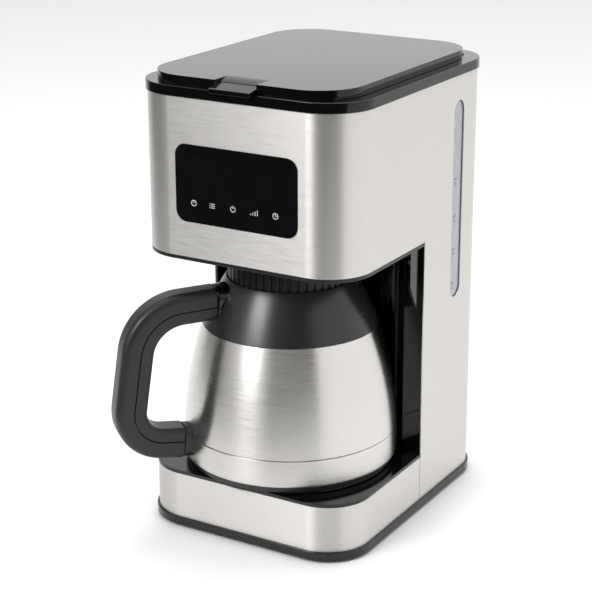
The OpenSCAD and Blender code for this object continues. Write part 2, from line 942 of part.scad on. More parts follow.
module lid_liner() color("#1f1f20") {
    liner_low = rim_low + 1.5;
    liner_w = 144;
    liner_r = mouth_r - 3;
    liner_front = front_y + 15;
    liner_rear = hinge_y - 8;
    liner_d = liner_rear - liner_front;
    skin = 2;
    translate([0, (liner_rear + liner_front) / 2, liner_low]) difference() {
        linear_extrude(lid_top - 2.4 - liner_low) rounded_rect(liner_w, liner_d, liner_r);
        translate([0, 0, skin]) linear_extrude(lid_t * 2)
            rounded_rect(liner_w - 2 * skin, liner_d - 2 * skin, liner_r - skin);
    }
}

module shower_head() color("#55585b") {
    plate_r = 40;
    shower_t = 3;
    hole_ring = 13;
    at_jug() translate([0, 0, rim_low + 1.5 - shower_t]) linear_extrude(shower_t) difference() {
        circle(plate_r);
        circle(2);
        for (ring = [1, 2], i = [0:6 * ring - 1]) rotate(60 / ring * i) translate([ring * hole_ring, 0])
            circle(1.5);
    }
}

module lid_seal() color("#b9bcc0") {
    seal_z = deck_top + 2.5 + move_gap;
    translate([-hose_x, riser_y, seal_z]) tube(8, 3.5, rim_low + 1.5 - seal_z);
}

module hinge_pins() color("#a9abad") {
    pin_l = ear_w + 2 * (lug_w + lug_gap) - gap;
    for (x = [-1, 1]) translate([x * ear_x - pin_l / 2, hinge_y, hinge_z]) rotate([0, 90, 0])
        cylinder(r = pin_r, h = pin_l);
}

// ---------- jug ----------

// Filled half profile of the jug's bulged side, moved in by d
module jug_profile(low, high, d = 0) {
    intersection() {
        translate([jug_r - bulge_r, bulge_z]) circle(bulge_r - d, $fn = 360);
        translate([0, low]) square([jug_r + over, high - low]);
    }
}

module jug_skin(low, high, d = 0) {
    difference() {
        jug_profile(low, high, d);
        jug_profile(low - over, high + over, d + steel_t);
    }
}

// Radius of the bulged side at a height
function side_r(z) = jug_r - bulge_r + sqrt(bulge_r * bulge_r - (z - bulge_z) * (z - bulge_z));

module jug_shell() color("#c9c7c2") {
    at_jug() rotate_extrude() jug_skin(seam_z, collar_z - 0.1);
}

module jug_cup() color("#c9c7c2") {
    at_jug() rotate_extrude() {
        jug_skin(jug_low, seam_z - 0.4);
        translate([0, jug_low]) square([side_r(jug_low) - steel_t / 2, steel_t]);
    }
}

module jug_liner() color("#b9b9b7") {
    low = jug_low + liner_gap;
    high = collar_z - 6;
    mid = high + 14;
    outer = side_r(high) - liner_gap;
    lap = 0.3;
    neck_out = neck_r + steel_t;
    at_jug() rotate_extrude() {
        jug_skin(low, high, liner_gap);
        translate([0, low]) square([side_r(low) - liner_gap - steel_t / 2, steel_t]);
        polygon([[outer - lap, high - over], [outer - lap, high], [neck_out, mid], [neck_out, cap_low - over],
            [neck_r, cap_low - over], [neck_r, mid - lap], [outer - steel_t + lap, high - over]]);
    }
}

module jug_foot() color("#141415") {
    ring_in = 62;
    foot_edge = side_r(jug_low) - 2.5;
    at_jug() rotate_extrude() polygon([[0, jug_bottom + 2], [ring_in, jug_bottom + 2], [ring_in, jug_bottom],
        [foot_edge - 1, jug_bottom], [foot_edge, jug_bottom + 1], [foot_edge, foot_top], [0, foot_top]]);
}

// Outline of the collar from its lower edge to its mouth, grown by d
function collar_side(d = 0) = [[side_r(collar_z) + d, collar_z], [cap_r + 5.8 + d, collar_z + 30],
    [cap_r + 2.6 + d, collar_z + 33.5], [cap_r + 1.4 + d, collar_top]];

module jug_collar() color("#131314") {
    side = collar_side();
    spout_turn = handle_turn - 180;
    neck_out = neck_r + steel_t + gap;
    at_jug() difference() {
        union() {
            rotate_extrude() polygon(concat(side, [[neck_out, collar_top], [neck_out, collar_z + 12],
                [side[0][0] - 6, collar_z]]));
            rotate([0, 0, spout_turn]) translate([cap_r - 2, 0, collar_top - 14])
                cylinder(r1 = 3, r2 = 9, h = 14);
        }
        rotate_extrude() polygon([[0, cap_low - gap], [cap_r + 0.6, cap_low - gap],
            [cap_r + 0.6, collar_top + over], [0, collar_top + over]]);
        cylinder(r = neck_out, h = body_h);
        rotate([0, 0, spout_turn]) translate([cap_r - 2, 0, collar_top - 10])
            cylinder(r1 = 2, r2 = 7.4, h = 10 + run_gap);
    }
}

// ---------- handle ----------

function heading(a, b) = atan2(b[1] - a[1], b[0] - a[0]);
function along(a, angle, l) = [a[0] + l * cos(angle), a[1] + l * sin(angle)];
function turn_of(a, c, b) = (heading(a, c) - heading(c, b) + 360) % 360;

// Stations [point, heading] round the bend at corner c, which comes from a and leaves for b
function bend(a, c, b, r) = let (
    turn = turn_of(a, c, b),
    into = heading(a, c),
    centre = along(along(c, into, -r * tan(turn / 2)), into - 90, r)
) [for (i = [0:bend_steps]) let (dir = into - turn * i / bend_steps) [along(centre, dir + 90, r), dir]];

// Stations of the whole D, from the bracket to the lower end
grip_path = concat([[along(grip_start, heading(grip_start, grip_upper), bracket_end - grip_start[0]),
        heading(grip_start, grip_upper)]],
    bend(grip_start, grip_upper, grip_lower, bend_top),
    bend(grip_upper, grip_lower, grip_end, bend_low),
    [[grip_end, heading(grip_lower, grip_end)]]);

// Half of the rounded section: a flat at one side, and round corners of radius r at the other
function half_section(flat, edge, half_w, r) = let (
    s = sign(edge - flat),
    corner = [edge - s * r, half_w - r],
    up = [for (i = [0:corner_steps]) let (a = 90 - 90 * i / corner_steps)
        [corner[0] + s * r * cos(a), corner[1] + r * sin(a)]],
    half = concat([[flat, half_w]], up),
    down = [for (i = [len(half) - 1:-1:0]) [half[i][0], -half[i][1]]],
    loop = concat(half, down)
) s > 0 ? loop : [for (i = [len(loop) - 1:-1:0]) loop[i]];

// A section swept along the stations of a path
module sweep(path, section) {
    n = len(section);
    m = len(path);
    points = [for (st = path, q = section)
        [st[0][0] - q[0] * sin(st[1]), st[0][1] + q[0] * cos(st[1]), q[1]]];
    sides = [for (i = [0:m - 2], j = [0:n - 1]) let (k = (j + 1) % n)
        [i * n + j, i * n + k, (i + 1) * n + k, (i + 1) * n + j]];
    ends = [[for (j = [n - 1:-1:0]) j], [for (j = [0:n - 1]) (m - 1) * n + j]];
    polyhedron(points, concat(sides, ends), convexity = 6);
}

// Stands a shape drawn in the handle's plane upright, out from the jug's axis
module upright() {
    at_jug() rotate([0, 0, handle_turn]) rotate([90, 0, 0]) children();
}

module jug_handle() color("#161617") {
    upright() sweep(grip_path, half_section(inlay_at + groove / 2, grip_t / 2, grip_w / 2, grip_round));
}

module handle_inlay() color("#1c1c1d") {
    inset = 0.4;
    difference() {
        upright() sweep(grip_path, half_section(inlay_at - groove / 2, inset - grip_t / 2, grip_w / 2 - inset,
            grip_round));
        jug_outside(gap);
    }
}

// The jug's outside, grown by d
module jug_outside(d) {
    at_jug() rotate_extrude() {
        jug_profile(0, collar_z + over, -d);
        polygon(concat([[0, collar_z]], collar_side(d), [[0, collar_top]]));
    }
}

// A short block between the jug and one end of the handle
module grip_block(from, dir, l, grow) {
    upright() translate([from[0], from[1], 0]) rotate([0, 0, dir]) rotate([90, 0, 90])
        linear_extrude(l) rounded_rect(grip_t + 2 * grow, grip_w + 2 * grow, grip_round);
}

module handle_bracket() color("#0e0e0f") {
    dir = heading(grip_start, grip_upper);
    difference() {
        grip_block(grip_start, dir, bracket_end - gap - grip_start[0], 0.4);
        jug_outside(gap);
    }
}

module handle_foot() color("#161617") {
    dir = heading(grip_end, grip_lower);
    difference() {
        grip_block(along(grip_end, dir, -foot_l), dir, foot_l - gap, 0);
        jug_outside(gap);
    }
}

// ---------- jug lid ----------

module jug_lid() color("#121213") {
    rib_r = 1.3;
    band = cap_r - 0.7;
    hole_r = 5;
    at_jug() difference() {
        union() {
            translate([0, 0, cap_low]) linear_extrude(cap_edge - cap_low) {
                circle(band);
                for (i = [0:rib_count - 1]) rotate(360 / rib_count * i) translate([cap_r - rib_r, 0])
                    circle(rib_r);
            }
            rotate_extrude() polygon([[0, cap_edge - over], [band - 1, cap_edge - over], [band - 1, cap_edge],
                [cap_ring_r, cap_top - 0.6], [cap_ring_r, cap_top], [0, cap_top]]);
        }
        translate([0, 0, cap_low - over]) cylinder(r = band - 3, h = cap_edge - cap_low - 2);
        cylinder(r = hole_r, h = body_h);
    }
}

module jug_lid_plug() color("#1d1d1e") {
    plug_low = collar_z + 12;
    plug_r = neck_r - 1.5;
    at_jug() difference() {
        translate([0, 0, plug_low]) cylinder(r = plug_r, h = cap_edge - 3 - plug_low);
        translate([0, 0, plug_low + wall]) cylinder(r = plug_r - wall, h = body_h);
        cylinder(r = 4, h = body_h);
    }
}

module jug_lid_seal() color("#c9cbcd") {
    at_jug() translate([0, 0, collar_z + 20]) tube(neck_r - move_gap, neck_r - 1.5 + run_gap, 3);
}

bottom_cover();
rubber_feet();
base_screws();
base_band();
base_housing();
carafe_platform();
column_front();
head_floor();
steel_wrap();
rear_cover();
rear_screws();
cord_gland();
gland_nut();
top_rim();
top_deck();
brew_housing();
water_tank();
tank_seal();
level_window();
control_panel();
display_module();
control_board();
touch_springs();
power_board();
heater_body();
heater_element();
heater_bracket();
heater_screws();
thermostat();
thermal_fuses();
check_valve();
check_ball();
inlet_hose();
riser_hose();
hose_clamps();
riser_outlet();
lid();
lid_tab();
lid_liner();
shower_head();
lid_seal();
hinge_pins();
filter_basket();
basket_filter();
drip_valve();
drip_spring();
jug_shell();
jug_cup();
jug_liner();
jug_foot();
jug_collar();
handle_bracket();
jug_handle();
handle_inlay();
handle_foot();
jug_lid();
jug_lid_plug();
jug_lid_seal();
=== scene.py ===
import json
import math

import bmesh
import bpy
from mathutils import Matrix, Vector


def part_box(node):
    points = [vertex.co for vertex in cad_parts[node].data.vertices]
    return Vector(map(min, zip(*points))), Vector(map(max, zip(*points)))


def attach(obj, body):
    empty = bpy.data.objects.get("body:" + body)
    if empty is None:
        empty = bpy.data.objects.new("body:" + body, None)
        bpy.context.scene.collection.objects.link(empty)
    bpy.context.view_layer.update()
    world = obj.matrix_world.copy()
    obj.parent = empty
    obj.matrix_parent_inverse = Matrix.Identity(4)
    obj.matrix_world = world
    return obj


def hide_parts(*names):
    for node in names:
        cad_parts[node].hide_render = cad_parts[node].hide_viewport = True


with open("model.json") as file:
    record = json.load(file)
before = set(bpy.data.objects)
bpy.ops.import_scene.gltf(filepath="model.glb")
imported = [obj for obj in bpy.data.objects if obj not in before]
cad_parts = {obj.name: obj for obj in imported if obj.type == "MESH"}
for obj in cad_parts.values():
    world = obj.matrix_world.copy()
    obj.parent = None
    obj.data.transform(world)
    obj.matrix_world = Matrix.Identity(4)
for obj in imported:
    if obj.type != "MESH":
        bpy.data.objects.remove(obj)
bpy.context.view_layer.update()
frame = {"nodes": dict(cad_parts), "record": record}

# ---------------------------------------------------------------- measures, in metres
MM = 0.001
STEEL_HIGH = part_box("steel_wrap")[1]
BAND_LOW, BAND_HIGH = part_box("base_band")
PLATFORM_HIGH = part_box("carafe_platform")[1]
FLOOR_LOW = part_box("head_floor")[0]
RIM_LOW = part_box("top_rim")[0]
LID_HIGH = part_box("lid")[1]
PANEL_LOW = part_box("control_panel")[0]
WINDOW_LOW, WINDOW_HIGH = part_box("level_window")
JUG_LOW, JUG_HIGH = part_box("jug_cup")
SHELL_LOW, SHELL_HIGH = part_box("jug_shell")
COLLAR_LOW, COLLAR_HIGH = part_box("jug_collar")
CAP_LOW, CAP_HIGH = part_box("jug_lid")
FOOT_LOW, FOOT_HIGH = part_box("jug_foot")

HALF_W = STEEL_HIGH.x
HALF_D = BAND_LOW.y * -1
CORNER_R = 33.5 * MM
SHEET_T = 1.0 * MM
SPLIT_Y = BAND_HIGH.y + 0.2 * MM
HEAD_Z = FLOOR_LOW.z + 2.8 * MM
JUG_Y = (JUG_LOW.y + JUG_HIGH.y) / 2
TRAY_TOP = BAND_LOW.z
CORNER_STEPS = 20
TURN_STEPS = 192

# ---------------------------------------------------------------- mesh helpers


def add_piece(name, bm, material, body, replaces=(), sharp=32):
    """Makes an object of a bmesh, shades it smooth with sharp edges, and lets it ride."""
    bmesh.ops.remove_doubles(bm, verts=bm.verts, dist=1e-7)
    bmesh.ops.recalc_face_normals(bm, faces=bm.faces)
    limit = math.radians(sharp)
    for face in bm.faces:
        face.smooth = True
    for edge in bm.edges:
        edge.smooth = len(edge.link_faces) == 2 and edge.calc_face_angle(0) < limit
    mesh = bpy.data.meshes.new(name)
    bm.to_mesh(mesh)
    bm.free()
    piece = bpy.data.objects.new(name, mesh)
    bpy.context.scene.collection.objects.link(piece)
    piece.data.materials.append(material)
    even = piece.modifiers.new("even_normals", "WEIGHTED_NORMAL")
    even.keep_sharp = True
    even.weight = 90
    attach(piece, body)
    if replaces:
        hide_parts(*replaces)
    return piece


def arc(cx, cy, r, start, end, steps):
    """Points round a circle, from one angle to another, in degrees."""
    angles = [math.radians(start + (end - start) * i / steps) for i in range(steps + 1)]
    return [(cx + r * math.cos(a), cy + r * math.sin(a)) for a in angles]


def outline(half_w, half_d, r, cx=0.0, cy=0.0, steps=CORNER_STEPS):
    """A rounded rectangle's points, turning from +X towards +Y."""
    r = max(r, 1e-5)
    points = arc(cx + half_w - r, cy + half_d - r, r, 0, 90, steps)
    points += arc(cx - half_w + r, cy + half_d - r, r, 90, 180, steps)
    points += arc(cx - half_w + r, cy - half_d + r, r, 180, 270, steps)
    points += arc(cx + half_w - r, cy - half_d + r, r, 270, 360, steps)
    return points


def fillet(points, radii, steps=5):
    """Rounds the corners of a closed outline: radii is one number, or one for each corner."""
    count = len(points)
    if not hasattr(radii, "__len__"):
        radii = [radii] * count
    out = []
    for i, corner in enumerate(points):
        here = Vector(corner)
        before = Vector(points[i - 1]) - here
        after = Vector(points[(i + 1) % count]) - here
        if radii[i] <= 0:
            out.append((here.x, here.y))
            continue
        half = before.angle(after) / 2
        reach = min(radii[i] / math.tan(half), 0.49 * before.length, 0.49 * after.length)
        first = here + before.normalized() * reach
        last = here + after.normalized() * reach
        for k in range(steps + 1):
            t = k / steps
            point = first * (1 - t) ** 2 + here * 2 * t * (1 - t) + last * t ** 2
            out.append((point.x, point.y))
    return out


def bridge(bm, rings, loop_rings=False, loop_points=True):
    """Faces between neighbouring rings of points; returns the rings' vertices."""
    made = [[bm.verts.new(p) for p in ring] for ring in rings]
    pairs = list(zip(made, made[1:]))
    if loop_rings:
        pairs.append((made[-1], made[0]))
    count = len(made[0])
    for low, high in pairs:
        for i in range(count if loop_points else count - 1):
            k = (i + 1) % count
            bm.faces.new((low[i], low[k], high[k], high[i]))
    return made


def plan_sweep(section, grow=0.0, centre=(0.0, 0.0), half=(None, None), r=CORNER_R, cap=False):
    """A section of (outward offset, height) points carried round the body's rounded plan.
    A closed section makes a ring; with cap, an open one makes a plate with flat ends."""
    half_w, half_d = half[0] or HALF_W, half[1] or HALF_D
    bm = bmesh.new()
    rings = []
    for offset, z in section:
        d = offset + grow
        flat = outline(half_w + d, half_d + d, r + d, *centre)
        rings.append([(x, y, z) for x, y in flat])
    made = bridge(bm, rings, loop_rings=not cap)
    if cap:
        bm.faces.new(made[0])
        bm.faces.new(made[-1])
    return bm


def revolve(profile, axis=(0.0, 0.0), steps=TURN_STEPS, closed=True, wave=None):
    """A profile of (radius, height) points turned round an upright axis.
    wave(angle, radius, height) may change the radius."""
    bm = bmesh.new()
    rings = []
    for i in range(steps):
        a = 2 * math.pi * i / steps
        ring = []
        for r, z in profile:
            rr = wave(a, r, z) if wave else r
            ring.append((axis[0] + rr * math.cos(a), axis[1] + rr * math.sin(a), z))
        rings.append(ring)
    bridge(bm, rings, loop_rings=True, loop_points=closed)
    return bm


def prism(points, low, high, bevel=0.0, steps=2):
    """An outline pulled along Z, with its long edges at the two ends bevelled."""
    bm = bmesh.new()
    base = [bm.verts.new((x, y, low)) for x, y in points]
    face = bm.faces.new(base)
    moved = bmesh.ops.extrude_face_region(bm, geom=[face])
    top = [v for v in moved["geom"] if isinstance(v, bmesh.types.BMVert)]
    bmesh.ops.translate(bm, verts=top, vec=(0, 0, high - low))
    bmesh.ops.recalc_face_normals(bm, faces=bm.faces)
    if bevel:
        flat = [e for e in bm.edges if abs(e.verts[0].co.z - e.verts[1].co.z) < 1e-9]
        bmesh.ops.bevel(bm, geom=flat, offset=bevel, segments=steps, affect="EDGES", profile=0.5)
    return bm


def box_prism(low, high, bevel=0.0, steps=2):
    """A block between two corners with its edges bevelled."""
    bm = bmesh.new()
    bmesh.ops.create_cube(bm, size=1)
    size = Vector(high) - Vector(low)
    bmesh.ops.scale(bm, vec=size, verts=bm.verts)
    bmesh.ops.translate(bm, vec=(Vector(high) + Vector(low)) / 2, verts=bm.verts)
    if bevel:
        bmesh.ops.bevel(bm, geom=bm.edges[:], offset=bevel, segments=steps, affect="EDGES", profile=0.5)
    return bm


def join(*parts):
    """One bmesh holding several."""
    whole = bmesh.new()
    for part in parts:
        mesh = bpy.data.meshes.new("part")
        part.to_mesh(mesh)
        part.free()
        whole.from_mesh(mesh)
        bpy.data.meshes.remove(mesh)
    return whole


def turned(bm, matrix):
    bmesh.ops.transform(bm, matrix=matrix, verts=bm.verts)
    return bm


def as_object(bm, name="cutter"):
    bmesh.ops.recalc_face_normals(bm, faces=bm.faces)
    mesh = bpy.data.meshes.new(name)
    bm.to_mesh(mesh)
    bm.free()
    made = bpy.data.objects.new(name, mesh)
    bpy.context.scene.collection.objects.link(made)
    return made


def carve(bm, cutters, bevel=0.0, steps=2, angle=40, adds=()):
    """Adds and cuts shapes, bevels the edges that are left, and returns a new bmesh."""
    target = as_object(bm, "target")
    tools = []
    for shape, operation in [(a, "UNION") for a in adds] + [(c, "DIFFERENCE") for c in cutters]:
        tools.append(as_object(shape))
        cut = target.modifiers.new("cut", "BOOLEAN")
        cut.object = tools[-1]
        cut.operation = operation
        cut.solver = "EXACT"
    if bevel:
        edge = target.modifiers.new("edge", "BEVEL")
        edge.width = bevel
        edge.segments = steps
        edge.limit_method = "ANGLE"
        edge.angle_limit = math.radians(angle)
        edge.use_clamp_overlap = True
    bpy.context.view_layer.update()
    graph = bpy.context.evaluated_depsgraph_get()
    result = bmesh.new()
    result.from_mesh(target.evaluated_get(graph).to_mesh())
    target.evaluated_get(graph).to_mesh_clear()
    for made in [target, *tools]:
        mesh = made.data
        bpy.data.objects.remove(made)
        bpy.data.meshes.remove(mesh)
    return result


def from_cad(node):
    """The CAD node's shape, with its flat faces made whole again."""
    source = frame["nodes"][node]
    bm = bmesh.new()
    bm.from_mesh(source.data)
    bm.transform(source.matrix_world)
    bmesh.ops.remove_doubles(bm, verts=bm.verts, dist=1e-6)
    bmesh.ops.dissolve_limit(bm, angle_limit=math.radians(0.4), verts=bm.verts, edges=bm.edges)
    return bm


def soften(bm, width, steps=2, angle=38, where=None):
    """Rounds the sharp edges, or those whose middle passes a test."""
    limit = math.radians(angle)
    chosen = []
    for edge in bm.edges:
        if len(edge.link_faces) == 2 and edge.calc_face_angle(0) > limit:
            middle = (edge.verts[0].co + edge.verts[1].co) / 2
            if where is None or where(middle):
                chosen.append(edge)
    bmesh.ops.bevel(bm, geom=chosen, offset=width, segments=steps, affect="EDGES", profile=0.5,
                    clamp_overlap=True)
    return bm


def sweep(stations, section):
    """A closed section carried along [(point, out direction, side direction, scale)], with flat ends."""
    bm = bmesh.new()
    rings = [[p + out * (u * k) + side * (v * k) for u, v in section] for p, out, side, k in stations]
    made = bridge(bm, rings)
    bm.faces.new(made[0])
    bm.faces.new(made[-1])
    return bm


def stroke(points, width, place, thick=0.05 * MM, closed=False):
    """A drawn line: a flat strip along the points, laid on a surface by place(u, v, height)."""
    bm = bmesh.new()
    count = len(points)
    pairs = []
    for i, point in enumerate(points):
        here = Vector(point)
        before = Vector(points[i - 1]) if closed or i else here
        after = Vector(points[(i + 1) % count]) if closed or i < count - 1 else here
        way = (after - before).normalized()
        side = Vector((-way.y, way.x)) * width / 2
        pairs.append((here + side, here - side))
    rings = [[place(a.x, a.y, 0), place(a.x, a.y, thick), place(b.x, b.y, thick), place(b.x, b.y, 0)]
             for a, b in pairs]
    made = bridge(bm, rings, loop_rings=closed)
    if not closed:
        bm.faces.new(made[0])
        bm.faces.new(made[-1])
    return bm


# Turns a shape drawn in XY so that it stands in YZ, facing the right side
SIDEWAYS = Matrix.Rotation(math.radians(90), 4, "Z") @ Matrix.Rotation(math.radians(90), 4, "X")

# ---------------------------------------------------------------- material helpers


class Shader:
    """A node tree with one Principled shader, and short calls to add nodes."""

    def __init__(self, name, colour, roughness, metallic=0.0, **own):
        self.material = bpy.data.materials.new(name)
        self.material.use_nodes = True
        self.tree = self.material.node_tree
        self.main = self.tree.nodes["Principled BSDF"]
        self.set(Base_Color=(*colour, 1), Roughness=roughness, Metallic=metallic)
        self.set(**own)
        self.place = self.node("ShaderNodeTexCoord").outputs["Object"]

    def set(self, **values):
        for key, value in values.items():
            self.main.inputs[key.replace("_", " ")].default_value = value

    def node(self, kind, links=None, **values):
        made = self.tree.nodes.new(kind)
        for key, value in values.items():
            if hasattr(made, key):
                setattr(made, key, value)
            else:
                made.inputs[key.replace("_", " ")].default_value = value
        for key, value in (links or {}).items():
            self.tree.links.new(value, made.inputs[key])
        return made

    def link(self, output, socket):
        self.tree.links.new(output, self.main.inputs[socket])

    def noise(self, scale, stretch=(1, 1, 1), detail=3.0, roughness=0.55):
        mapping = self.node("ShaderNodeMapping", {"Vector": self.place}, Scale=stretch)
        made = self.node("ShaderNodeTexNoise", {"Vector": mapping.outputs[0]}, Scale=scale, Detail=detail,
                         Roughness=roughness)
        return made.outputs["Fac"]

    def remap(self, value, low, high, start=0.3, end=0.7):
        made = self.node("ShaderNodeMapRange", {"Value": value}, From_Min=start, From_Max=end,
                         To_Min=low, To_Max=high)
        return made.outputs["Result"]

    def blend(self, fac, low, high):
        made = self.node("ShaderNodeMix", {"Factor": fac}, data_type="RGBA")
        made.inputs["A"].default_value = (*low, 1)
        made.inputs["B"].default_value = (*high, 1)
        colours = [s for s in made.inputs if s.type == "RGBA"]
        colours[0].default_value = (*low, 1)
        colours[1].default_value = (*high, 1)
        return [s for s in made.outputs if s.type == "RGBA"][0]

    def bump(self, height, strength, distance, before=None):
        links = {"Height": height}
        if before is not None:
            links["Normal"] = before
        made = self.node("ShaderNodeBump", links, Strength=strength, Distance=distance)
        return made.outputs["Normal"]


def brushed_steel(name, colour, roughness, anisotropy=0.88, streak=60.0, line=2600.0):
    """Steel with fine level brushing: short streaks that vary in tone, gloss and depth."""
    s = Shader(name, colour, roughness, metallic=1.0, Anisotropic=anisotropy, Anisotropic_Rotation=0.25)
    fine = s.noise(1.0, (streak, streak, line), detail=4.0, roughness=0.6)
    dark = tuple(c * 0.96 for c in colour)
    light = tuple(min(1.0, c * 1.03) for c in colour)
    s.link(s.blend(s.remap(fine, 0, 1), dark, light), "Base Color")
    s.link(s.remap(fine, roughness - 0.05, roughness + 0.07), "Roughness")
    s.link(s.bump(fine, 0.06, 0.00010), "Normal")
    tangent = s.node("ShaderNodeTangent", direction_type="RADIAL", axis="Z")
    s.link(tangent.outputs[0], "Tangent")
    return s.material


def moulded(name, colour, roughness, grain=2600.0, depth=0.00004, strength=0.25, spread=0.05, **own):
    """Moulded plastic or rubber: a fine grain, and slow changes of gloss."""
    s = Shader(name, colour, roughness, **own)
    fine = s.noise(grain, detail=2.0)
    slow = s.noise(38.0, detail=3.0)
    lift = tuple(c * 1.25 + 0.002 for c in colour)
    s.link(s.blend(s.remap(slow, 0, 1), colour, lift), "Base Color")
    s.link(s.remap(slow, roughness - spread, roughness + spread), "Roughness")
    s.link(s.bump(fine, strength, depth), "Normal")
    return s.material


def polished(name, colour, roughness=0.06, **own):
    """Polished plastic: a slight unevenness, and faint wiping marks in the gloss."""
    s = Shader(name, colour, roughness, **own)
    wipe = s.noise(1.0, (90.0, 260.0, 90.0), detail=4.0)
    swell = s.noise(26.0, detail=1.0)
    lift = tuple(c * 1.2 + 0.001 for c in colour)
    s.link(s.blend(s.remap(wipe, 0, 1), colour, lift), "Base Color")
    s.link(s.remap(wipe, roughness, roughness + 0.05, 0.45, 0.75), "Roughness")
    s.link(s.bump(swell, 0.06, 0.0006), "Normal")
    return s.material


MATERIALS = {
    "brushed_steel": brushed_steel("brushed_steel", (0.67, 0.655, 0.63), 0.40),
    "jug_steel": brushed_steel("jug_steel", (0.68, 0.665, 0.64), 0.30, streak=50.0, line=2600.0),
    "inner_steel": brushed_steel("inner_steel", (0.62, 0.61, 0.60), 0.34),
    "gloss_black": polished("gloss_black", (0.002, 0.002, 0.0022)),
    "satin_black": moulded("satin_black", (0.012, 0.012, 0.0125), 0.36),
    "collar_black": moulded("collar_black", (0.014, 0.0135, 0.0135), 0.27, grain=4200.0, strength=0.12,
                            spread=0.012),
    "cap_black": moulded("cap_black", (0.008, 0.008, 0.0085), 0.42, strength=0.15, Specular_IOR_Level=0.28),
    "matte_black": moulded("matte_black", (0.028, 0.028, 0.029), 0.55, grain=1500.0, depth=0.00008,
                           strength=0.4),
    "grip_black": moulded("grip_black", (0.012, 0.0118, 0.0115), 0.40, grain=3600.0, strength=0.16),
    "foot_rubber": moulded("foot_rubber", (0.03, 0.03, 0.03), 0.7, grain=1200.0, depth=0.0001, strength=0.5),
    "panel_glass": polished("panel_glass", (0.003, 0.003, 0.0036), 0.035),
    "window_plastic": polished("window_plastic", (0.40, 0.39, 0.43), 0.16),
    "tank_plastic": polished("tank_plastic", (0.16, 0.17, 0.185), 0.14),
    "clear_plastic": polished("clear_plastic", (0.62, 0.63, 0.64), 0.2),
    "silicone": moulded("silicone", (0.62, 0.60, 0.55), 0.5),
    "circuit_green": polished("circuit_green", (0.02, 0.12, 0.05), 0.3),
    "module_grey": moulded("module_grey", (0.13, 0.135, 0.14), 0.45),
    "zinc_steel": brushed_steel("zinc_steel", (0.55, 0.56, 0.57), 0.35, anisotropy=0.2, streak=400.0,
                                line=400.0),
    "spring_steel": brushed_steel("spring_steel", (0.6, 0.6, 0.6), 0.25, anisotropy=0.2, streak=500.0,
                                  line=500.0),
    "cast_aluminium": moulded("cast_aluminium", (0.55, 0.55, 0.56), 0.5, grain=900.0, depth=0.0001,
                              metallic=1.0),
    "element_steel": brushed_steel("element_steel", (0.34, 0.31, 0.28), 0.4, anisotropy=0.3),
    "ceramic": polished("ceramic", (0.72, 0.70, 0.63), 0.25),
    "filter_gold": brushed_steel("filter_gold", (0.62, 0.47, 0.20), 0.35, anisotropy=0.2, streak=900.0,
                                 line=900.0),
    "amber_plastic": polished("amber_plastic", (0.70, 0.34, 0.05), 0.15),
    "print_white": moulded("print_white", (0.86, 0.86, 0.85), 0.5),
    "print_grey": moulded("print_grey", (0.045, 0.044, 0.043), 0.45),
}


def finish_cad_nodes():
    """Gives every CAD node the material of its slot."""
    for part in frame["record"]["subparts"]:
        mesh_object = frame["nodes"][part["node"]]
        mesh_object.data.materials.clear()
        mesh_object.data.materials.append(MATERIALS[part["material_slot"]])


finish_cad_nodes()

# ---------------------------------------------------------------- body, base and lid


def ring_wall(low, high, thick=SHEET_T):
    """The steel sheet standing round the body's plan between two heights."""
    return plan_sweep([(0, low), (0, high), (-thick, high), (-thick, low)])


def block(low, high):
    return box_prism([c * MM for c in low], [c * MM for c in high])


def make_steel():
    clear = 0.2 * MM
    rim_lap = 3.5 * MM
    cut_edge = 0.22 * MM
    window_mid = (WINDOW_LOW.z + WINDOW_HIGH.z) / 2
    window_half = (WINDOW_HIGH.z - WINDOW_LOW.z) / 2 + clear
    window_w = (WINDOW_HIGH.y - WINDOW_LOW.y) / 2 + clear
    slot_plan = outline(window_w, window_half, window_w - 1e-5, WINDOW_LOW.y + window_w - clear, window_mid)
    slot = prism(slot_plan, HALF_W - 10 * MM, HALF_W + 5 * MM)
    turned(slot, SIDEWAYS)
    wrap = ring_wall(TRAY_TOP, RIM_LOW.z + rim_lap)
    front = block((-120, -140, -5), (120, (SPLIT_Y / MM), HEAD_Z / MM))
    rear = block((-60, 100, -5), (60, 130, 360))
    wrap = carve(wrap, [front, rear, slot], bevel=cut_edge, steps=2)
    add_piece("steel_wrap_visual", wrap, MATERIALS["brushed_steel"], "root", ["steel_wrap"])
    behind = block((-120, BAND_HIGH.y / MM - 0.35, -5), (120, 140, 60))
    band = carve(ring_wall(TRAY_TOP, BAND_HIGH.z), [behind], bevel=cut_edge, steps=2)
    add_piece("base_band_visual", band, MATERIALS["brushed_steel"], "root", ["base_band"])


def make_softened(node, body, material, *passes, sharp=32):
    """Replaces a CAD node by the same shape with rounded edges."""
    bm = from_cad(node)
    for width, steps, where in passes:
        soften(bm, width * MM, steps, where=where)
    return add_piece(node + "_visual", bm, MATERIALS[material], body, [node], sharp=sharp)


